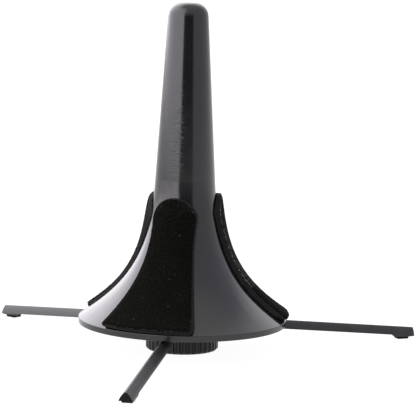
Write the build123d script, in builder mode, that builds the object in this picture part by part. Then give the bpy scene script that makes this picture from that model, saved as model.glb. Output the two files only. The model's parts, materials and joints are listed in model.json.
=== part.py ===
from build123d import *
import os
from math import cos, radians, sin

# Trumpet stand: a hollow moulded cone with three cloth-faced pads stands on a hub with three
# steel legs.  A ribbed knob under the hub turns a stud that pulls the cone down on the hub.
# With the knob undone the cone lifts off, the legs fold up and the bundle stows inside the cone.
#
# Frame: +Z up, millimetres, origin where the cone's axis meets the floor.  Leg 1 points along -Y.

os.makedirs("parts", exist_ok=True)

# ---- cone ----
rim_height = 13.8  # underside of the bell-shaped skirt above the floor
rim_radius = 52.5
rim_band = 2.9  # upright edge of the rim
rim_lip = 2.1  # width of the rim's underside
rim_round = 0.3
wall = 2.2
neck_height = 73.0  # where the flare runs into the straight taper, above the rim
neck_radius = 15.05
neck_handle = 34.5  # reach of the flare's upper control point below the neck
flare_handle = (24.6, 21.2)  # lower control point: radius, height above the rim
taper = 0.0606  # radius lost per millimetre of height
cone_height = 161.0  # rim to top
crown_round = 7.0

# ---- pads ----
pad_turns = (-10.3, -6.6, -8.0)  # degrees that each pad, stuck on by hand, is turned from the leg below
pad_leans = (1.1, 0.0, 5.0)  # degrees that each pad leans in its own plane
pad_feet = (3.5, 4.2, 4.2)  # lower edge of each pad above the rim
pad_foot_half = 25.0
pad_waist = (14.3, 23.7)  # half width and height above the lower edge at mid length
pad_shoulder = (11.3, 50.2)  # half width and height above the lower edge where the round end starts
pad_corner = 1.8
foam_thickness = 2.4
face_thickness = 0.8

# ---- knob, stud and insert ----
knob_radius = 18.3
knob_base = 0.5  # clear of the floor, so the feet carry the stand
knob_top = 9.55
knob_ribs = 36
groove_radius = 0.9
knob_skin = 2.4
knob_column = 6.5
cover_radius = 15.0
cover_base = 1.0
cover_thickness = 1.4
stud_radius = 2.5
stud_top = 30.0
head_across = 8.0
head_base = 2.5
head_height = 3.5
clip_radius = 4.2
clip_thickness = 0.8
clip_height = 18.0
clip_seat = 2.0  # radius of the stud inside the clip's groove
insert_radius = 3.6
insert_base = 19.7
insert_length = 12.0
running_gap = 0.05

# ---- hub ----
washer_base = 9.6
washer_thickness = 0.5
washer_radius = 14.0
hub_base = washer_base + washer_thickness
hub_top = 19.5
hub_radius = 16.5
boss_radius = 5.0
boss_top = 37.0
web_thickness = 2.0
web_foot = 18.5
web_top = 38.0
web_count = 3

# ---- legs ----
leg_count = 3
leg_droop = 5.45  # degrees below level
pivot_radius = 11.0
pivot_height = 14.73
leg_tip_radius = 128.5
leg_half_width = 3.3
leg_ridge = 0.35  # half width of the flat along the top
leg_ridge_round = 0.3
leg_bulge = 0.68  # share of the half width at mid depth
leg_depth = 4.17
leg_sheet = 0.7
lobe_length = 13.0
lobe_drop = 0.9
pin_radius = 1.2
pin_half_length = 6.2
slot_side_gap = 0.2
slot_floor_gap = 0.1
plug_cap = 0.3  # thickness of the plug's flange over the end of the leg
plug_length = 12.0
foot_nose = 3.4  # from the end of the leg to the foot's flat
foot_length = 5.0
foot_slope = 1.0
foot_drop = 3.3  # below the leg's lower edge, before the floor trims it

leg_length = (leg_tip_radius - pivot_radius) / cos(radians(leg_droop))
leg_half_depth = leg_depth / 2
leg_angles = [-90 + 360 / leg_count * i for i in range(leg_count)]
pad_angles = [angle + turn for angle, turn in zip(leg_angles, pad_turns)]
web_angles = [angle + 180 / web_count for angle in leg_angles]


def flare_curve(lift):
    """Control points of the flare from the rim to the neck, moved out from its skin by lift."""
    upper_handle = Vector(neck_radius + taper * neck_handle, rim_height + neck_height - neck_handle)
    points = [
        Vector(rim_radius, rim_height + rim_band),
        Vector(flare_handle[0], rim_height + flare_handle[1]),
        upper_handle,
        Vector(neck_radius, rim_height + neck_height),
    ]
    runs = [(b - a).normalized() for a, b in zip(points, points[1:])]
    normals = [Vector(run.Y, -run.X) for run in runs]
    normals = [normals[0]] + normals + [normals[-1]]
    moved = []
    for point, before, after in zip(points, normals, normals[1:]):
        mitre = (before + after) * (lift / (1 + before.dot(after)))
        moved.append(point + mitre)
    return moved


def cone_outline(lift, foot):
    """Closed half section of the cone, moved out by lift, starting at the point foot on its base."""
    curve = flare_curve(lift)
    top = rim_height + cone_height + lift
    top_radius = neck_radius - taper * (cone_height - neck_height) + lift
    with BuildSketch(Plane.XZ) as section:
        with BuildLine():
            start = foot if lift < 0 else (curve[0].X, curve[0].Y)
            if lift >= 0:
                Line(foot, start)
            Bezier(start, curve[1], curve[2], curve[3])
            Polyline((curve[3].X, curve[3].Y), (top_radius, top), (0, top), (0, foot[1]), foot)
        make_face()
        fillet(section.vertices().group_by(Axis.Y)[-1].sort_by(Axis.X)[-1], crown_round + lift)
        if lift >= 0:
            fillet(section.vertices().group_by(Axis.X)[-1], rim_round)
    return section.sketch


def radial_plane(angle, height=0.0, lean=0.0):
    """Upright plane through the axis whose normal points out at angle; lean tips its x axis down."""
    out = Vector(cos(radians(angle)), sin(radians(angle)), 0)
    side = Vector(-sin(radians(angle)), cos(radians(angle)), 0)
    along = side * cos(radians(lean)) - Vector(0, 0, sin(radians(lean)))
    return Plane(origin=(0, 0, height), x_dir=along, z_dir=out)


def leg_plane(angle, along=0.0):
    """Plane square to a leg, its origin on the leg's centre line at a distance along from the pivot."""
    droop = radians(leg_droop)
    out = Vector(cos(radians(angle)), sin(radians(angle)), 0)
    run = out * cos(droop) - Vector(0, 0, sin(droop))
    pivot = out * pivot_radius + Vector(0, 0, pivot_height)
    side = Vector(-sin(radians(angle)), cos(radians(angle)), 0)
    return Plane(origin=pivot + run * along, x_dir=side, z_dir=run)


def leg_side_plane(angle):
    """Plane through a leg's pivot with x along the leg and y square to its top."""
    square = leg_plane(angle)
    return Plane(origin=square.origin, x_dir=square.z_dir, z_dir=square.x_dir * -1)


# ---------------------------------------------------------------- cone
with BuildPart() as cone_envelope:
    revolve(cone_outline(0, (rim_radius, rim_height)), axis=Axis.Z)

with BuildPart() as webs:
    for angle in web_angles:
        with BuildSketch(radial_plane(angle + 90, web_foot)):
            Rectangle(rim_radius, web_top - web_foot, align=(Align.MAX, Align.MIN))
        extrude(amount=web_thickness / 2, both=True)
    add(cone_envelope.part, mode=Mode.INTERSECT)

with BuildPart() as cone_shell:
    add(cone_envelope.part)
    revolve(cone_outline(-wall, (rim_radius - rim_lip, rim_height)), axis=Axis.Z, mode=Mode.SUBTRACT)
    add(webs.part)
    with BuildSketch(Plane.XY.offset(hub_top + running_gap)):
        Circle(boss_radius)
    extrude(amount=boss_top - hub_top - running_gap)
    with BuildSketch(Plane.XY.offset(web_foot)):
        Circle(boss_radius)
    extrude(amount=hub_top + running_gap - web_foot, mode=Mode.SUBTRACT)
    with BuildSketch(Plane.XY.offset(web_foot)):
        Circle(insert_radius)
    extrude(amount=insert_base + insert_length - web_foot, mode=Mode.SUBTRACT)
    with BuildSketch(Plane.XY.offset(insert_base + insert_length)):
        Circle(stud_radius + 0.3)
    extrude(amount=3.0, mode=Mode.SUBTRACT)
cone_shell.part.label = "cone_shell"
export_step(cone_shell.part, "parts/cone_shell.step")

with BuildPart() as threaded_insert:
    with BuildSketch(Plane.XY.offset(insert_base)):
        Circle(insert_radius)
        Circle(stud_radius + running_gap, mode=Mode.SUBTRACT)
    extrude(amount=insert_length)
    chamfer(threaded_insert.edges().group_by(Axis.Z)[0].sort_by(SortBy.RADIUS)[0], 0.3)
threaded_insert.part.label = "threaded_insert"
export_step(threaded_insert.part, "parts/threaded_insert.step")


# ---------------------------------------------------------------- pads
def pad_layer(angle, lean, foot, inner, outer):
    """One layer of a pad, between two lifts off the cone's skin, cut to the pad's outline."""
    low = flare_curve(inner)
    high = flare_curve(outer)
    with BuildPart() as layer:
        with BuildSketch(Plane.XZ):
            with BuildLine():
                Bezier(*low)
                Line(low[3], high[3])
                Bezier(*high)
                Line(low[0], high[0])
            make_face()
        revolve(axis=Axis.Z)
        add(cone_envelope.part, mode=Mode.SUBTRACT)
        waist_x, waist_y = pad_waist
        shoulder_x, shoulder_y = pad_shoulder
        with BuildSketch(radial_plane(angle, rim_height + foot, lean)) as outline:
            with BuildLine():
                Line((-pad_foot_half, 0), (pad_foot_half, 0))
                ThreePointArc((pad_foot_half, 0), (waist_x, waist_y), (shoulder_x, shoulder_y))
                RadiusArc((shoulder_x, shoulder_y), (-shoulder_x, shoulder_y), -shoulder_x)
                ThreePointArc((-shoulder_x, shoulder_y), (-waist_x, waist_y), (-pad_foot_half, 0))
            make_face()
            fillet(outline.vertices().group_by(Axis.Y)[0], pad_corner)
        extrude(amount=rim_radius + outer + 5, mode=Mode.INTERSECT)
    return layer.part


for number, (angle, lean, foot) in enumerate(zip(pad_angles, pad_leans, pad_feet), 1):
    with BuildPart() as pad_foam:
        add(pad_layer(angle, lean, foot, 0, foam_thickness))
    pad_foam.part.label = f"pad_foam_{number}"
    export_step(pad_foam.part, f"parts/pad_foam_{number}.step")

    with BuildPart() as pad_face:
        add(pad_layer(angle, lean, foot, foam_thickness, foam_thickness + face_thickness))
    pad_face.part.label = f"pad_face_{number}"
    export_step(pad_face.part, f"parts/pad_face_{number}.step")

# ---------------------------------------------------------------- hub and washer
with BuildPart() as hub:
    with BuildSketch(Plane.XY.offset(hub_base)):
        Circle(hub_radius)
    extrude(amount=hub_top - hub_base)
    chamfer(hub.edges().group_by(Axis.Z)[0], 0.5)
    Hole(radius=stud_radius + 0.15)
    with Locations((0, 0, hub_top)):
        CounterBoreHole(stud_radius + 0.15, clip_radius + 0.4, hub_top - clip_height + 0.1)
    for angle in leg_angles:
        with BuildSketch(leg_plane(angle, -leg_half_depth - 1.2)):
            with Locations((0, -leg_half_depth - slot_floor_gap)):
                Rectangle(2 * (leg_half_width + slot_side_gap), 20, align=(Align.CENTER, Align.MIN))
        extrude(amount=20, mode=Mode.SUBTRACT)
        with BuildSketch(leg_side_plane(angle).offset(pin_half_length)):
            Circle(pin_radius)
        extrude(amount=-pin_half_length - hub_radius, mode=Mode.SUBTRACT)
    for angle in web_angles:
        with BuildSketch(radial_plane(angle + 90, web_foot - 0.1)):
            Rectangle(hub_radius + 2, 5, align=(Align.MAX, Align.MIN))
        extrude(amount=web_thickness / 2 + 0.15, both=True, mode=Mode.SUBTRACT)
hub.part.label = "hub"
export_step(hub.part, "parts/hub.step")

with BuildPart() as thrust_washer:
    with BuildSketch(Plane.XY.offset(washer_base)):
        Circle(washer_radius)
        Circle(stud_radius + 0.2, mode=Mode.SUBTRACT)
    extrude(amount=washer_thickness)
thrust_washer.part.label = "thrust_washer"
export_step(thrust_washer.part, "parts/thrust_washer.step")

# ---------------------------------------------------------------- knob, stud, clip and cover
with BuildPart() as knob:
    with BuildSketch(Plane.XY.offset(knob_base)):
        Circle(knob_radius)
    extrude(amount=knob_top - knob_base)
    chamfer(knob.edges().group_by(Axis.Z)[0], 0.9)
    chamfer(knob.edges().group_by(Axis.Z)[-1], 0.4)
    with BuildSketch(Plane.XY.offset(knob_base)):
        with PolarLocations(knob_radius, knob_ribs):
            Circle(groove_radius)
    extrude(amount=knob_top - knob_base, mode=Mode.SUBTRACT)
    with BuildSketch(Plane.XY.offset(knob_base)):
        Circle(cover_radius)
        Circle(knob_column, mode=Mode.SUBTRACT)
    extrude(amount=knob_top - knob_skin - knob_base, mode=Mode.SUBTRACT)
    with BuildSketch(Plane.XY.offset(knob_base)):
        Circle(cover_radius)
    extrude(amount=cover_base + cover_thickness - knob_base, mode=Mode.SUBTRACT)
    with BuildSketch(Plane.XY.offset(knob_base)):
        RegularPolygon(head_across / 2, 6, major_radius=False)
    extrude(amount=head_base + head_height - knob_base, mode=Mode.SUBTRACT)
    with BuildSketch(Plane.XY.offset(knob_base)):
        Circle(stud_radius)
    extrude(amount=knob_top, mode=Mode.SUBTRACT)
knob.part.label = "knob"
export_step(knob.part, "parts/knob.step")

with BuildPart() as knob_cover:
    with BuildSketch(Plane.XY.offset(cover_base)):
        Circle(cover_radius)
    extrude(amount=cover_thickness)
    chamfer(knob_cover.edges().group_by(Axis.Z)[0], 0.4)
knob_cover.part.label = "knob_cover"
export_step(knob_cover.part, "parts/knob_cover.step")

with BuildPart() as stud:
    with BuildSketch(Plane.XY.offset(head_base)):
        RegularPolygon(head_across / 2, 6, major_radius=False)
    extrude(amount=head_height)
    with BuildSketch(Plane.XY.offset(head_base)):
        Circle(stud_radius)
    extrude(amount=stud_top - head_base)
    chamfer(stud.edges().group_by(Axis.Z)[-1], 0.5)
    with BuildSketch(Plane.XY.offset(clip_height)):
        Circle(stud_radius + 1)
        Circle(clip_seat, mode=Mode.SUBTRACT)
    extrude(amount=clip_thickness, mode=Mode.SUBTRACT)
stud.part.label = "stud"
export_step(stud.part, "parts/stud.step")

with BuildPart() as retaining_clip:
    with BuildSketch(Plane.XY.offset(clip_height)):
        Circle(clip_radius)
        Circle(clip_seat, mode=Mode.SUBTRACT)
        with Locations((clip_radius, 0)):
            Rectangle(2 * clip_radius, 2 * clip_seat - 0.8, mode=Mode.SUBTRACT)
    extrude(amount=clip_thickness)
retaining_clip.part.label = "retaining_clip"
export_step(retaining_clip.part, "parts/retaining_clip.step")


# ---------------------------------------------------------------- legs, pins and feet
def arch_section(plane, shrink):
    """Arched section of a leg, open downwards, drawn deep so that a side profile can trim it."""
    deep = -8.0
    half = leg_half_width
    with BuildSketch(plane) as arch:
        with BuildLine():
            Polyline((-half, -leg_half_depth), (-half, deep), (half, deep), (half, -leg_half_depth))
            ThreePointArc((half, -leg_half_depth), (half * leg_bulge, 0), (leg_ridge, leg_half_depth))
            Line((leg_ridge, leg_half_depth), (-leg_ridge, leg_half_depth))
            ThreePointArc((-leg_ridge, leg_half_depth), (-half * leg_bulge, 0), (-half, -leg_half_depth))
        make_face()
        fillet(arch.vertices().group_by(Axis.Y)[-1], leg_ridge_round)
        if shrink:
            offset(amount=-shrink, kind=Kind.INTERSECTION, mode=Mode.REPLACE)
    return arch.sketch


def side_profile(angle):
    """Side view of a leg: round at the pivot, straight on top, stepped down at the foot's lobe."""
    half = leg_half_depth
    lobe = leg_length - lobe_length
    with BuildSketch(leg_side_plane(angle).offset(-leg_half_width - 1)) as profile:
        with BuildLine():
            Polyline(
                (0, half),
                (leg_length, half),
                (leg_length, -half),
                (leg_length - 4, -half - lobe_drop * 0.75),
                (lobe + 3, -half - lobe_drop),
                (lobe + 1.6, -half - lobe_drop),
                (lobe, -half),
                (0, -half),
                close=True,
            )
        make_face()
        Circle(half)
    return profile.sketch


def plug_profile(angle):
    """Side view of a foot plug: a short foot with sloped ends stands below the steel."""
    half = leg_half_depth
    start = leg_length - plug_length
    end = leg_length + plug_cap
    nose = leg_length - foot_nose
    heel = nose - foot_length
    with BuildSketch(leg_side_plane(angle).offset(-leg_half_width - 1)) as profile:
        with BuildLine():
            Polyline(
                (start, half),
                (end, half),
                (end, -half),
                (nose + foot_slope, -half),
                (nose, -half - foot_drop),
                (heel, -half - foot_drop),
                (heel - foot_slope, -half),
                (start, -half),
                close=True,
            )
        make_face()
    return profile.sketch


for number, angle in enumerate(leg_angles, 1):
    with BuildPart() as leg:
        extrude(arch_section(leg_plane(angle, -leg_half_depth), 0), amount=leg_length + leg_half_depth)
        extrude(side_profile(angle), amount=2 * leg_half_width + 2, mode=Mode.INTERSECT)
        hollow = arch_section(leg_plane(angle, -leg_half_depth - 1), leg_sheet)
        extrude(hollow, amount=leg_length + 10, mode=Mode.SUBTRACT)
        with BuildSketch(leg_side_plane(angle)):
            Circle(pin_radius + running_gap)
        extrude(amount=hub_radius, both=True, mode=Mode.SUBTRACT)
    leg.part.label = f"leg_{number}"
    export_step(leg.part, f"parts/leg_{number}.step")

    with BuildPart() as hinge_pin:
        with BuildSketch(leg_side_plane(angle)):
            Circle(pin_radius)
        extrude(amount=pin_half_length, both=True)
    hinge_pin.part.label = f"hinge_pin_{number}"
    export_step(hinge_pin.part, f"parts/hinge_pin_{number}.step")

    with BuildPart() as foot_plug:
        extrude(arch_section(leg_plane(angle, leg_length - plug_length), leg_sheet), amount=plug_length)
        extrude(arch_section(leg_plane(angle, leg_length), 0), amount=plug_cap)
        extrude(plug_profile(angle), amount=2 * leg_half_width + 2, mode=Mode.INTERSECT)
        split(bisect_by=Plane.XY, keep=Keep.TOP)
    foot_plug.part.label = f"foot_plug_{number}"
    export_step(foot_plug.part, f"parts/foot_plug_{number}.step")
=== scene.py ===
import bpy
import json
import math
from mathutils import Matrix, Vector
from mathutils.bvhtree import BVHTree


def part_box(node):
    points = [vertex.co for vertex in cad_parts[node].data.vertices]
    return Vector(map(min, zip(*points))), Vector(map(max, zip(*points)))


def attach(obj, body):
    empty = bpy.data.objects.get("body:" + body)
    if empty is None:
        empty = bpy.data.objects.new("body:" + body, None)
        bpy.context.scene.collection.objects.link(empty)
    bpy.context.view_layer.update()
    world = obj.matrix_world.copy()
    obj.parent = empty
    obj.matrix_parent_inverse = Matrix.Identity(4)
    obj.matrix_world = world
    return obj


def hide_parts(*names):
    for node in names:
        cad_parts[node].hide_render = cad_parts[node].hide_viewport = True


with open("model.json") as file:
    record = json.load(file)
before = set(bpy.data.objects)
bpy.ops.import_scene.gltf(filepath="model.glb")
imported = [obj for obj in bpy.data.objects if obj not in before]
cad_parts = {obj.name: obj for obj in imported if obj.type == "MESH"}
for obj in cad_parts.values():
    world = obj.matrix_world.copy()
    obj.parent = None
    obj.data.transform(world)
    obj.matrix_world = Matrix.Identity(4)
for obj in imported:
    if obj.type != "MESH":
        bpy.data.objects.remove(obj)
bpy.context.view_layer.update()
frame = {"nodes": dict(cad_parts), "record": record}
nodes = frame["nodes"]
mm = 0.001
weldGap = 0.002  # mm between points of the CAD skins that are one point
print("frame loaded:", len(nodes), "nodes")

bpy.context.scene.view_settings.view_transform = "Standard"


def hexToLinear(code):
    # sRGB hex to the linear RGBA that Blender's sockets take
    channels = [int(code[i:i + 2], 16) / 255 for i in (1, 3, 5)]
    linear = [c / 12.92 if c <= 0.04045 else ((c + 0.055) / 1.055) ** 2.4 for c in channels]
    return (*linear, 1.0)


def addNode(tree, kind, settings=None, links=None):
    # settings: input name or index -> value, or "." + attribute -> value
    # links: input name or index -> output socket
    node = tree.nodes.new(kind)
    for key, value in (settings or {}).items():
        if isinstance(key, str) and key.startswith("."):
            setattr(node, key[1:], value)
        else:
            node.inputs[key].default_value = value
    for key, socket in (links or {}).items():
        tree.links.new(socket, node.inputs[key])
    return node


def compute(tree, operation, *values):
    # one maths node; each value is a number or a socket
    settings, links = {".operation": operation}, {}
    for index, value in enumerate(values):
        if isinstance(value, bpy.types.NodeSocket):
            links[index] = value
        else:
            settings[index] = value
    return addNode(tree, "ShaderNodeMath", settings, links).outputs[0]


def times(tree, product, *sockets):
    for socket in sockets:
        product = compute(tree, "MULTIPLY", product, socket)
    return product


def ramp(tree, socket, low, high, first=0.0, last=1.0, kind="LINEAR"):
    # first where the socket is at low, last where it is at high, held beyond both
    return addNode(tree, "ShaderNodeMapRange", {
        ".interpolation_type": kind, "From Min": low, "From Max": high,
        "To Min": first, "To Max": last}, {"Value": socket}).outputs[0]


def blend(tree, share, first, second):
    # from first to second, each a hex code, a linear colour or a socket
    settings, links = {".data_type": "RGBA"}, {"Factor": share}
    for key, colour in (("A", first), ("B", second)):
        if isinstance(colour, str):
            settings[key] = hexToLinear(colour)
        elif isinstance(colour, tuple):
            settings[key] = colour
        else:
            links[key] = colour
    return addNode(tree, "ShaderNodeMix", settings, links).outputs["Result"]


def noise(tree, coords, size, detail=2.0, roughness=0.5):
    # cloudy values about 0.5, size in mm
    settings = {"Scale": 1 / (size * mm), "Detail": detail, "Roughness": roughness}
    return addNode(tree, "ShaderNodeTexNoise", settings, {"Vector": coords}).outputs["Fac"]


def cells(tree, coords, size):
    # distance from the nearest of many scattered points, size in mm
    return addNode(tree, "ShaderNodeTexVoronoi", {"Scale": 1 / (size * mm)},
                   {"Vector": coords}).outputs["Distance"]


def relief(tree, height, strength, depth, under=None):
    # bumps of a depth in mm, laid over the bumps under them
    links = {"Height": height}
    if under is not None:
        links["Normal"] = under
    return addNode(tree, "ShaderNodeBump", {"Strength": strength, "Distance": depth * mm}, links).outputs[0]


def newMaterial(name):
    material = bpy.data.materials.new(name)
    material.use_nodes = True
    material.node_tree.nodes.clear()
    return material, material.node_tree


def objectCoords(tree):
    return addNode(tree, "ShaderNodeTexCoord").outputs["Object"]


def finishMaterial(tree, shader):
    addNode(tree, "ShaderNodeOutputMaterial", links={"Surface": shader.outputs[0]})


def deselectAll():
    if bpy.context.object and bpy.context.object.mode != "OBJECT":
        bpy.ops.object.mode_set(mode="OBJECT")
    bpy.ops.object.select_all(action="DESELECT")


def pick(piece):
    deselectAll()
    piece.select_set(True)
    bpy.context.view_layer.objects.active = piece


def addModifier(piece, kind, settings):
    modifier = piece.modifiers.new(kind.lower(), kind)
    for key, value in settings.items():
        setattr(modifier, key, value)
    return modifier


def applyModifier(piece, modifier):
    pick(piece)
    bpy.ops.object.modifier_apply(modifier=modifier.name)


def mergedCopy(node, name):
    # a free copy of a CAD node with its loose triangles joined into one skin
    piece = nodes[node].copy()
    piece.data = nodes[node].data.copy()
    piece.name = name
    for key in [key for key in piece.keys() if key.startswith("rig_")]:
        del piece[key]
    bpy.context.scene.collection.objects.link(piece)
    piece.parent = None
    piece.matrix_world = Matrix.Identity(4)
    piece.data.materials.clear()
    pick(piece)
    bpy.ops.mesh.customdata_custom_splitnormals_clear()
    bpy.ops.object.mode_set(mode="EDIT")
    bpy.ops.mesh.select_all(action="SELECT")
    bpy.ops.mesh.remove_doubles(threshold=weldGap * mm)
    bpy.ops.mesh.normals_make_consistent(inside=False)
    bpy.ops.object.mode_set(mode="OBJECT")
    return piece


def dress(piece, material):
    piece.data.materials.clear()
    piece.data.materials.append(material)


viewCamera = {
    "azimuth": 10.97,  # degrees round from the front leg
    "reach": 0.95165,  # from the peg's axis
    "height": 0.1929,
    "turn": 0.0123,  # radians off the axis
    "dip": 0.1243,
    "roll": 0.0214,
    "lens": 165.26,
    "sensor": 36,
    "near": 0.05,
    "far": 60,
}


def buildCamera(view):
    azimuth = math.radians(view["azimuth"])
    heading = azimuth - view["turn"]
    place = Vector((view["reach"] * math.sin(azimuth), -view["reach"] * math.cos(azimuth), view["height"]))
    level = Vector((-math.sin(heading), math.cos(heading), 0))
    ahead = level * math.cos(view["dip"]) - Vector((0, 0, math.sin(view["dip"])))
    right = ahead.cross(Vector((0, 0, 1))).normalized()
    up = right.cross(ahead)
    c, s = math.cos(view["roll"]), math.sin(view["roll"])
    rolledRight = right * c + up * s
    rolledUp = up * c - right * s
    data = bpy.data.cameras.new("standCamera")
    data.lens = view["lens"]
    data.sensor_width = view["sensor"]
    data.sensor_fit = "HORIZONTAL"
    data.clip_start = view["near"]
    data.clip_end = view["far"]
    camera = bpy.data.objects.new("standCamera", data)
    bpy.context.scene.collection.objects.link(camera)
    turn = Matrix((rolledRight, rolledUp, -ahead)).transposed()
    camera.matrix_world = Matrix.Translation(place) @ turn.to_4x4()
    bpy.context.scene.camera = camera


buildCamera(viewCamera)
print("camera placed")


studio = {
    "floorSize": 60.0,
    "floorTint": "#5f5f5f",
    "floorGlow": 0.96,
    "brightest": 7.0,
    "blendFrom": 0.07,  # height in the surround, as a sine, where the low ring gives way to the high one
    "blendTo": 0.62,
    "topFrom": 0.78,
    "topTo": 1.0,
    "topGlow": 1.15,
    # bearing in degrees from the viewer, negative on the left; glow; tint
    "lowRing": [
        (-180, 1.6, "#fbfafc"),
        (-150, 3.6, "#f7f2fa"),
        (-26, 3.9, "#f6f1f9"),
        (-20.5, 0.08, "#f4f4f4"),
        (25, 0.08, "#f4f4f4"),
        (33, 0.98, "#f1f2fa"),
        (140, 1.05, "#f3f4fb"),
        (180, 1.6, "#fbfafc"),
    ],
    "highRing": [
        (-180, 3.0, "#fbfafc"),
        (-150, 4.3, "#fbf8fd"),
        (-70, 3.6, "#faf6fd"),
        (-30, 3.4, "#f6f1f9"),
        (-10, 1.2, "#f4f4f8"),
        (40, 1.05, "#eeeffb"),
        (125, 1.0, "#eeeffb"),
        (180, 3.0, "#fbfafc"),
    ],
}


def litWhiteTable():
    # backlit white acrylic: burns out to an even white, with the faintest shade under the object
    material, tree = newMaterial("litWhiteTable")
    finishMaterial(tree, addNode(tree, "ShaderNodeBsdfPrincipled", {
        "Base Color": hexToLinear(studio["floorTint"]), "Roughness": 0.95, "Specular IOR Level": 0.0,
        "Emission Color": (1, 1, 1, 1), "Emission Strength": studio["floorGlow"]}))
    return material


def buildFloor():
    deselectAll()
    bpy.ops.mesh.primitive_plane_add(size=studio["floorSize"], location=(0, 0, 0))
    floor = bpy.context.object
    floor.name = "studioFloor"
    dress(floor, litWhiteTable())


def fillRing(tree, stops, across):
    ring = addNode(tree, "ShaderNodeValToRGB", links={"Fac": across})
    elements = ring.color_ramp.elements
    while len(elements) < len(stops):
        elements.new(0.5)
    for element, (bearing, glow, tint) in zip(elements, stops):
        element.position = (bearing + 180) / 360
        level = glow / studio["brightest"]
        element.color = (*[channel * level for channel in hexToLinear(tint)[:3]], 1)
    return ring.outputs["Color"]


def buildSurround():
    # bright on the left, dim on the right, dark behind the viewer
    world = bpy.data.worlds.new("softSurround")
    bpy.context.scene.world = world
    world.use_nodes = True
    tree = world.node_tree
    tree.nodes.clear()
    coords = addNode(tree, "ShaderNodeTexCoord")
    turned = addNode(tree, "ShaderNodeVectorRotate",
                     {".rotation_type": "Z_AXIS", "Angle": -math.radians(viewCamera["azimuth"])},
                     {"Vector": coords.outputs["Generated"]})
    parts = addNode(tree, "ShaderNodeSeparateXYZ", links={0: turned.outputs[0]})
    ahead = compute(tree, "MULTIPLY", parts.outputs["Y"], -1.0)
    bearing = compute(tree, "ARCTAN2", parts.outputs["X"], ahead)
    across = ramp(tree, bearing, -math.pi, math.pi)
    rise = ramp(tree, parts.outputs["Z"], studio["blendFrom"], studio["blendTo"], kind="SMOOTHSTEP")
    crown = ramp(tree, parts.outputs["Z"], studio["topFrom"], studio["topTo"], kind="SMOOTHSTEP")
    topLevel = studio["topGlow"] / studio["brightest"]
    low = fillRing(tree, studio["lowRing"], across)
    high = fillRing(tree, studio["highRing"], across)
    sides = blend(tree, rise, low, high)
    whole = blend(tree, crown, sides, (topLevel, topLevel, topLevel, 1))
    glow = addNode(tree, "ShaderNodeBackground", {"Strength": studio["brightest"]}, {"Color": whole})
    addNode(tree, "ShaderNodeOutputWorld", links={"Surface": glow.outputs[0]})


buildFloor()
buildSurround()
print("studio built")


absSkin = {
    # rubbed: colour of the rub marks, partly scuffed plastic and partly painted highlight
    "tint": "#0c0c0e", "rubbed": "#232326", "dusty": "#6a6a6c",
    "roughness": 0.12, "rubbedRoughness": 0.34, "hazeRoughness": 0.035,
    "peel": 3.5, "peelDepth": 0.012,  # mm across one swell of the moulded skin, and its depth
    "pegRadius": 13.0,  # mm, where the marks are
    "ringPitch": 1.5,  # mm between rub marks; real ones are finer, drawn coarse enough to show
    "ringLength": 4.0, "ringDepth": 0.1,  # mm along one rub mark, and its depth
    "rubLow": 84.0, "rubHigh": 146.0,  # heights between which the bell's throat rubs
    "rubRise": 16.0, "rubFall": 22.0,  # mm over which the rubbing sets in and dies out
    "rubSideAtLightEdge": -96.0, "rubWidth": 18.0,  # degrees: middle and half width of the rubbed side, put where the edge of the reflection falls from the camera, so the lighter rub marks there are partly painted highlight
    "strayRub": 0.04,  # share of the rubbing all round
    "smear": 17.0,  # mm across a patch of handling haze
    "dust": 1.5, "dustPatch": 6.0,  # mm between possible dust specks; mm across a dusty patch
}


def rubShareAtLightEdge(tree, place, angle):
    # how much a bell has rubbed each spot, kept to the side where the reflection's edge falls, so the
    # lighter marks are partly painted highlight
    low, high = absSkin["rubLow"] * mm, absSkin["rubHigh"] * mm
    width = math.radians(absSkin["rubWidth"])
    apart = compute(tree, "ABSOLUTE", compute(tree, "SUBTRACT", angle, math.radians(absSkin["rubSideAtLightEdge"])))
    rise = ramp(tree, place.outputs["Z"], low, low + absSkin["rubRise"] * mm, kind="SMOOTHSTEP")
    fall = ramp(tree, place.outputs["Z"], high, high - absSkin["rubFall"] * mm, kind="SMOOTHSTEP")
    side = ramp(tree, apart, width, width / 3, absSkin["strayRub"], kind="SMOOTHSTEP")
    return times(tree, rise, fall, side)


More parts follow.
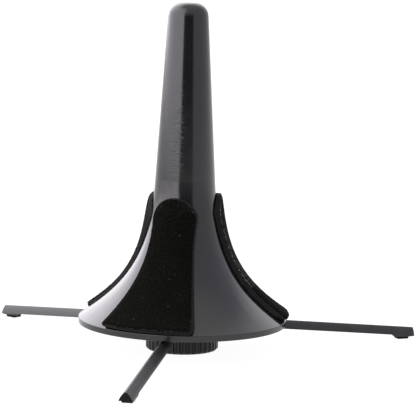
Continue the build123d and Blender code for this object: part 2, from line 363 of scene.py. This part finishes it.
def mouldedAbs():
    # black ABS from a polished mould: clear soft reflections, faint rings where a bell has rubbed it,
    # lighter in colour on the side where the reflection's edge falls: partly real scuffing, partly painted
    # highlight
    material, tree = newMaterial("mouldedAbs")
    coords = objectCoords(tree)
    place = addNode(tree, "ShaderNodeSeparateXYZ", links={0: coords})
    angle = compute(tree, "ARCTAN2", place.outputs["Y"], place.outputs["X"])
    wrapped = addNode(tree, "ShaderNodeCombineXYZ", links={
        "X": compute(tree, "MULTIPLY", angle, absSkin["pegRadius"] / absSkin["ringLength"]),
        "Z": compute(tree, "MULTIPLY", place.outputs["Z"], 1 / (absSkin["ringPitch"] * mm))})
    marks = addNode(tree, "ShaderNodeTexNoise", {"Scale": 1.0, "Detail": 3.0, "Roughness": 0.6},
                    {"Vector": wrapped.outputs[0]}).outputs["Fac"]
    patchy = ramp(tree, noise(tree, coords, absSkin["smear"], 4.0), 0.36, 0.6, 0.35)
    worn = times(tree, rubShareAtLightEdge(tree, place, angle), patchy)
    scuffAndHighlight = times(tree, ramp(tree, marks, 0.5, 0.6), worn)
    dust = times(tree, ramp(tree, noise(tree, coords, absSkin["dustPatch"]), 0.62, 0.70),
                 ramp(tree, cells(tree, coords, absSkin["dust"]), 0.14, 0.06))
    # the rub marks' lighter colour is partly scuffed plastic, partly a painted highlight along the
    # reflection's edge
    skin = blend(tree, scuffAndHighlight, absSkin["tint"], absSkin["rubbed"])
    gloss = ramp(tree, scuffAndHighlight, 0.0, 1.0, absSkin["roughness"], absSkin["rubbedRoughness"])
    peel = relief(tree, noise(tree, coords, absSkin["peel"]), 0.5, absSkin["peelDepth"])
    finishMaterial(tree, addNode(tree, "ShaderNodeBsdfPrincipled", {"IOR": 1.54}, {
        "Base Color": blend(tree, dust, skin, absSkin["dusty"]),
        "Roughness": compute(tree, "MULTIPLY_ADD", patchy, absSkin["hazeRoughness"], gloss),
        "Normal": relief(tree, times(tree, marks, worn), 0.9, absSkin["ringDepth"], peel)}))
    return material


foamSkin = {
    "tint": "#0b0b0b", "light": "#1b1b1b",
    "pore": 0.7, "poreDepth": 0.22,  # mm; real pores are 0.3 mm across, drawn coarser
    "grain": 1.6,  # mm
}


def neopreneFoam():
    # sliced closed-cell neoprene: dead matt, finely pitted with burst cells on the cut edge, darker in the
    # pits as painted shade with a random grain over it
    material, tree = newMaterial("neopreneFoam")
    coords = objectCoords(tree)
    pores = cells(tree, coords, foamSkin["pore"])
    # painted shade: darker down in each pit, lighter on the rims between them, broken by a random grain
    shade = times(tree, ramp(tree, pores, 0.25, 0.75), noise(tree, coords, foamSkin["grain"], 5.0, 0.7))
    finishMaterial(tree, addNode(tree, "ShaderNodeBsdfPrincipled", {
        "Roughness": 0.95, "Specular IOR Level": 0.25}, {
        "Base Color": blend(tree, shade, foamSkin["tint"], foamSkin["light"]),
        "Normal": relief(tree, pores, 0.9, foamSkin["poreDepth"])}))
    return material


velourSkin = {
    # deep: painted shade down in the pile; tip: painted light on the tufts
    "deep": "#0a0a08", "litTufts": "#121210", "lint": "#4c4b47", "cutThread": "#7f7d79",
    "nap": 0.8,  # mm between tufts; real pile is about 0.2 mm, drawn coarser so that it shows
    "napDepth": 0.18,
    "fuzz": 0.7,  # mm
    "brushed": 11.0,  # mm across a patch brushed one way, its tufts lit more or less as painted sheen
    "lintSpacing": 5.2,  # mm
    "threadSpacing": 0.7,  # mm between backing threads at the cut edge, drawn coarser
}


def velourCloth():
    # napped loop cloth: swallows light, tufts catch a little of it as painted light with painted shade down
    # between them, pale backing threads at the cut edge
    material, tree = newMaterial("velourCloth")
    coords = objectCoords(tree)
    tufts = addNode(tree, "ShaderNodeTexVoronoi",
                    {".feature": "SMOOTH_F1", "Scale": 1 / (velourSkin["nap"] * mm), "Smoothness": 0.6},
                    {"Vector": coords})
    fuzz = noise(tree, coords, velourSkin["fuzz"], 6.0, 0.75)
    height = compute(tree, "MULTIPLY_ADD", fuzz, 0.7, tufts.outputs["Distance"])
    sheenPatches = ramp(tree, noise(tree, coords, velourSkin["brushed"]), 0.35, 0.7, 0.5)
    # painted light on the tufts' tips and painted shade between them, weaker in some patches as painted
    # sheen
    lit = times(tree, ramp(tree, height, 0.76, 1.04), sheenPatches)
    pile = blend(tree, lit, velourSkin["deep"], velourSkin["litTufts"])
    lint = ramp(tree, cells(tree, coords, velourSkin["lintSpacing"]), 0.055, 0.03)
    lift = addNode(tree, "ShaderNodeAttribute", {".attribute_name": "lift"}).outputs["Fac"]
    fray = addNode(tree, "ShaderNodeAttribute", {".attribute_name": "fray"}).outputs["Fac"]
    broken = ramp(tree, noise(tree, coords, velourSkin["threadSpacing"], 3.0, 0.7), 0.5, 0.57)
    frayed = times(tree, ramp(tree, lift, 1.0, 0.6), broken, fray)
    linty = blend(tree, lint, pile, velourSkin["lint"])
    finishMaterial(tree, addNode(tree, "ShaderNodeBsdfPrincipled", {
        "Roughness": 1.0, "Specular IOR Level": 0.0, "Sheen Weight": 0.03, "Sheen Roughness": 0.4}, {
        "Base Color": blend(tree, frayed, linty, velourSkin["cutThread"]),
        "Normal": relief(tree, height, 0.9, velourSkin["napDepth"])}))
    return material


# mottle and grain: mm across one patch; depth: mm; stretch of the grain along x, y and z
plainSkins = {
    # stippled ABS from a spark-eroded mould: even satin black with a fine sandy grain
    "ribbed_abs": {
        "name": "stippledAbs", "tints": ("#080809", "#161617"), "roughness": 0.36, "spread": 0.16,
        "ior": 1.54, "specular": 0.3, "mottle": 3.0, "grain": 0.5, "depth": 0.03},
    # glass-filled nylon straight from the mould: dull, slightly grey where the filler shows
    "moulded_nylon": {
        "name": "glassFilledNylon", "tints": ("#161617", "#242425"), "roughness": 0.5, "spread": 0.15,
        "ior": 1.53, "specular": 0.4, "mottle": 4.0, "grain": 0.6, "depth": 0.05},
    # turned natural acetal: waxy off-white with a faint lathe grain
    "natural_acetal": {
        "name": "naturalAcetal", "tints": ("#d9d5c6", "#e6e3d8"), "roughness": 0.32, "spread": 0.1,
        "ior": 1.48, "specular": 0.5, "mottle": 5.0, "grain": 0.5, "depth": 0.02},
    # powder coat on pressed steel: smooth satin, fine orange peel, thin grey rubs
    "painted_steel": {
        "name": "powderCoatedSteel", "tints": ("#121213", "#262627"), "roughness": 0.42, "spread": 0.1,
        "ior": 1.52, "specular": 0.42, "mottle": 9.0, "grain": 0.9, "depth": 0.03},
    # moulded rubber: dark and dull, with a faint random mottle
    "foot_rubber": {
        "name": "mouldedRubber", "tints": ("#040404", "#10100f"), "roughness": 0.8, "spread": 0.15,
        "ior": 1.52, "specular": 0.2, "mottle": 2.0, "grain": 0.5, "depth": 0.06},
    # bright zinc plate, blue-passivated: clean pale metal with a faint cool and warm cast
    "zinc_plated_steel": {
        "name": "brightZincPlate", "tints": ("#b3b9c4", "#c6c2ae"), "roughness": 0.28, "spread": 0.14,
        "metallic": 1.0, "mottle": 3.0, "grain": 0.5, "depth": 0.01},
    # phosphated spring steel: charcoal, oily satin
    "spring_steel": {
        "name": "phosphatedSpringSteel", "tints": ("#3b3a39", "#504c47"), "roughness": 0.42, "spread": 0.15,
        "metallic": 1.0, "mottle": 1.5, "grain": 0.4, "depth": 0.02},
    # free-cutting brass off the lathe: warm yellow with fine turning rings
    "brass": {
        "name": "turnedBrass", "tints": ("#c49a4a", "#d8b36a"), "roughness": 0.24, "spread": 0.14,
        "metallic": 1.0, "mottle": 4.0, "grain": 0.4, "depth": 0.015, "stretch": (0.15, 0.15, 1)},
}


def plainSkin(name, tints, roughness, spread, mottle, grain, depth,
              metallic=0.0, ior=1.5, specular=0.5, stretch=(1, 1, 1)):
    material, tree = newMaterial(name)
    coords = objectCoords(tree)
    drawn = addNode(tree, "ShaderNodeMapping", {"Scale": stretch}, {"Vector": coords})
    sand = noise(tree, drawn.outputs[0], grain, 3.0, 0.6)
    mixed = times(tree, ramp(tree, noise(tree, coords, mottle, 5.0, 0.6), 0.35, 0.7), sand)
    finishMaterial(tree, addNode(tree, "ShaderNodeBsdfPrincipled", {
        "Metallic": metallic, "IOR": ior, "Specular IOR Level": specular}, {
        "Base Color": blend(tree, mixed, *tints),
        "Roughness": ramp(tree, mixed, 0.0, 1.0, roughness - spread / 2, roughness + spread),
        "Normal": relief(tree, sand, 1.0, depth)}))
    return material


finishes = {"black_abs": mouldedAbs(), "neoprene_foam": neopreneFoam(), "velour_cloth": velourCloth()}
for slot, skin in plainSkins.items():
    finishes[slot] = plainSkin(**skin)
slotOf = {part["node"]: part["material_slot"] for part in frame["record"]["subparts"]}
for node, slot in slotOf.items():
    dress(nodes[node], finishes[slot])
print("finishes made")


pad = {
    "foamCell": 0.5, "foamRounds": 1,  # mm between points of the foam's skin; rounds of softening
    "clothCell": 0.42, "clothRounds": 2,
    "foamLift": 2.4,  # mm, where the cloth starts
    "clothThickness": 0.8,
    "press": 0.22,  # mm that the cloth is thinner than its room before it swells
    "pinned": 0.3,  # mm of the cloth above the glue that doesn't swell
    "heldBelow": 0.05,  # points less free than this stay put in the simulation
    "enlarge": 100,  # the cloth swells at this size, where the solver's forces are in range
    "steps": 16,
    "mostSwell": 0.45,  # mm
    "tuft": 0.9, "tuftHeight": 0.3,  # mm; one lump of the nap, drawn coarser than life
    "pore": 0.9, "poreHeight": 0.12,  # mm; one lump of the foam
    # where each pad's cut edge has frayed: from and to, mm above the floor, and how much
    "fray": {1: [(10, 24, 0.15), (72, 90, 0.3)], 2: [(34, 90, 1.0)], 3: [(30, 72, 0.8)]},
}
padCloth = {
    "quality": 4, "mass": 0.2, "tension_stiffness": 12, "compression_stiffness": 12,
    "shear_stiffness": 4, "bending_stiffness": 0.5, "use_pressure": True,
    "uniform_pressure_force": 3.0, "vertex_group_mass": "held",
}


def remeshed(node, name, cell, rounds):
    # even small faces all over, with the sharp edges of the cut a little softened
    piece = mergedCopy(node, name)
    applyModifier(piece, addModifier(piece, "REMESH", {"mode": "VOXEL", "voxel_size": cell * mm}))
    applyModifier(piece, addModifier(piece, "SMOOTH", {"factor": 0.5, "iterations": rounds}))
    return piece


coneProbe = mergedCopy("cone_shell", "coneProbe")
coneTree = BVHTree.FromPolygons([v.co.copy() for v in coneProbe.data.vertices],
                                [list(p.vertices) for p in coneProbe.data.polygons])
bpy.data.objects.remove(coneProbe)


def liftOf(point):
    # height over the cone's skin, in mm
    return coneTree.find_nearest(point)[3] / mm


def freeGroup(piece):
    # how far each point may swell: none at the glue line, all of it on the face
    free = piece.vertex_groups.new(name="free")
    held = piece.vertex_groups.new(name="held")
    for vertex in piece.data.vertices:
        lift = liftOf(vertex.co) - pad["foamLift"]
        share = min(max((lift - pad["pinned"]) / (pad["clothThickness"] - pad["pinned"]), 0), 1)
        free.add([vertex.index], share, "REPLACE")
        held.add([vertex.index], 1 if share < pad["heldBelow"] else 0, "REPLACE")


def swell(piece):
    # cloth simulation: air pressure crowns the face between its glued edges
    scene = bpy.context.scene
    rest = [vertex.co.copy() for vertex in piece.data.vertices]
    piece.data.transform(Matrix.Scale(pad["enlarge"], 4))
    cloth = piece.modifiers.new("swell", "CLOTH")
    for key, value in padCloth.items():
        setattr(cloth.settings, key, value)
    cloth.settings.effector_weights.gravity = 0
    cloth.point_cache.frame_start = 1
    cloth.point_cache.frame_end = pad["steps"]
    for step in range(1, pad["steps"] + 1):
        scene.frame_set(step)
    applyModifier(piece, cloth)
    scene.frame_set(1)
    piece.data.transform(Matrix.Scale(1 / pad["enlarge"], 4))
    most = 0
    for vertex, start in zip(piece.data.vertices, rest):
        move = vertex.co - start
        most = max(most, move.length / mm)
        if move.length > pad["mostSwell"] * mm:
            vertex.co = start + move.normalized() * pad["mostSwell"] * mm
    print("cloth swelled by up to", round(most, 2), "mm before the cap")


def lumps(piece, size, height, group=""):
    texture = bpy.data.textures.new(piece.name + "Lumps", "CLOUDS")
    texture.noise_scale = size * mm
    texture.noise_depth = 2
    applyModifier(piece, addModifier(piece, "DISPLACE", {
        "texture": texture, "strength": height * mm, "mid_level": 0.5, "vertex_group": group}))


def markEdge(piece, stretches):
    # lift: how far each point is above the glue line, as a share of the cloth's thickness
    # fray: how badly the cut edge has frayed at that height
    lift = piece.data.attributes.new("lift", "FLOAT", "POINT")
    fray = piece.data.attributes.new("fray", "FLOAT", "POINT")
    for vertex in piece.data.vertices:
        height = vertex.co.z / mm
        lift.data[vertex.index].value = (liftOf(vertex.co) - pad["foamLift"]) / pad["clothThickness"]
        fray.data[vertex.index].value = max(
            [share for low, high, share in stretches if low <= height <= high], default=0.0)


def buildPad(number):
    foam = remeshed(f"pad_foam_{number}", f"foamLayer_{number}", pad["foamCell"], pad["foamRounds"])
    lumps(foam, pad["pore"], pad["poreHeight"])
    cloth = remeshed(f"pad_face_{number}", f"velourFace_{number}", pad["clothCell"], pad["clothRounds"])
    freeGroup(cloth)
    markEdge(cloth, pad["fray"][number])
    applyModifier(cloth, addModifier(cloth, "DISPLACE", {
        "strength": -pad["press"] * mm, "mid_level": 0.0, "vertex_group": "free"}))
    swell(cloth)
    lumps(cloth, pad["tuft"], pad["tuftHeight"], "free")
    for piece, node, finish in ((foam, f"pad_foam_{number}", "neoprene_foam"),
                                (cloth, f"pad_face_{number}", "velour_cloth")):
        pick(piece)
        bpy.ops.object.shade_smooth()
        piece.vertex_groups.clear()
        dress(piece, finishes[finish])
        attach(piece, "cone_assembly")
        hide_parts(node)


for number in (1, 2, 3):
    buildPad(number)
print("pads built")


foot = {"cell": 0.22, "rounds": 4}  # mm between points; rounds of softening


def buildFoot(number):
    piece = remeshed(f"foot_plug_{number}", f"rubberFoot_{number}", foot["cell"], foot["rounds"])
    pick(piece)
    bpy.ops.object.shade_smooth()
    dress(piece, finishes["foot_rubber"])
    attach(piece, f"leg_assembly_{number}")
    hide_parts(f"foot_plug_{number}")


for number in (1, 2, 3):
    buildFoot(number)
print("feet built")


stud = {
    "root": 2.1,  # mm, radius at the bottom of the thread
    "pitch": 0.8,  # M5
    "turns": 31,
    "segments": 28,
    "weld": 0.005,  # mm between points that close the thread's turns
    "headBase": 2.5, "headHeight": 3.5, "headAcross": 8.0, "headBevel": 0.3,
    "sunk": 0.1,  # mm that the shank reaches into the head
    "top": 30.0, "leadIn": 0.5, "leadShare": 0.82,
    "smoothAngle": 28,  # degrees, edges sharper than this stay sharp
}


def buildThread():
    # a square on its corner loses one corner and leaves a tooth, which is then wound up the axis
    deselectAll()
    pitch = stud["pitch"] * mm
    base = (stud["headBase"] + stud["headHeight"]) * mm
    bpy.ops.mesh.primitive_plane_add(
        size=pitch / math.sqrt(2), location=(stud["root"] * mm, 0, base - pitch),
        rotation=(math.pi / 2, math.pi / 4, 0))
    thread = bpy.context.object
    bpy.ops.object.transform_apply(location=True, rotation=True, scale=True)
    inner = min(range(4), key=lambda index: thread.data.vertices[index].co.x)
    bpy.ops.object.mode_set(mode="EDIT")
    bpy.ops.mesh.select_all(action="DESELECT")
    bpy.ops.object.mode_set(mode="OBJECT")
    thread.data.vertices[inner].select = True
    bpy.ops.object.mode_set(mode="EDIT")
    bpy.ops.mesh.delete(type="VERT")
    bpy.ops.object.mode_set(mode="OBJECT")
    applyModifier(thread, addModifier(thread, "SCREW", {
        "angle": 2 * math.pi, "screw_offset": pitch, "iterations": stud["turns"], "axis": "Z",
        "steps": stud["segments"], "render_steps": stud["segments"]}))
    bpy.ops.object.mode_set(mode="EDIT")
    bpy.ops.mesh.select_all(action="SELECT")
    bpy.ops.mesh.remove_doubles(threshold=stud["weld"] * mm)
    cutTop = (stud["top"] - stud["leadIn"]) * mm
    for height, up in ((base - stud["sunk"] * mm, -1), (cutTop, 1)):
        bpy.ops.mesh.select_all(action="SELECT")
        bpy.ops.mesh.bisect(plane_co=(0, 0, height), plane_no=(0, 0, up), use_fill=True, clear_outer=True)
    bpy.ops.mesh.extrude_region_move(TRANSFORM_OT_translate={"value": (0, 0, stud["leadIn"] * mm)})
    bpy.ops.transform.resize(value=(stud["leadShare"], stud["leadShare"], 1),
                             center_override=(0, 0, stud["top"] * mm))
    bpy.ops.object.mode_set(mode="OBJECT")
    return thread


def buildStud(headTurn):
    thread = buildThread()
    deselectAll()
    corner = stud["headAcross"] * mm / math.sqrt(3)
    bpy.ops.mesh.primitive_cylinder_add(
        vertices=6, radius=corner, depth=stud["headHeight"] * mm,
        location=(0, 0, (stud["headBase"] + stud["headHeight"] / 2) * mm), rotation=(0, 0, headTurn))
    head = bpy.context.object
    bpy.ops.object.transform_apply(location=True, rotation=True, scale=True)
    bpy.ops.object.mode_set(mode="EDIT")
    bpy.ops.mesh.select_all(action="SELECT")
    bpy.ops.mesh.bevel(offset=stud["headBevel"] * mm, segments=2)
    bpy.ops.object.mode_set(mode="OBJECT")
    head.select_set(True)
    thread.select_set(True)
    bpy.context.view_layer.objects.active = thread
    bpy.ops.object.join()
    bpy.ops.object.mode_set(mode="EDIT")
    bpy.ops.mesh.select_all(action="SELECT")
    bpy.ops.mesh.normals_make_consistent(inside=False)
    bpy.ops.object.mode_set(mode="OBJECT")
    bpy.ops.object.shade_smooth_by_angle(angle=math.radians(stud["smoothAngle"]))
    thread.name = "threadedStud"
    dress(thread, finishes["zinc_plated_steel"])
    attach(thread, "knob_assembly")
    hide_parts("stud")


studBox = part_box("stud")
# the CAD head's corners point along x when it is wider that way
wide = studBox[1].x - studBox[0].x > studBox[1].y - studBox[0].y
buildStud(math.radians(30) if wide else 0.0)
print("stud built")
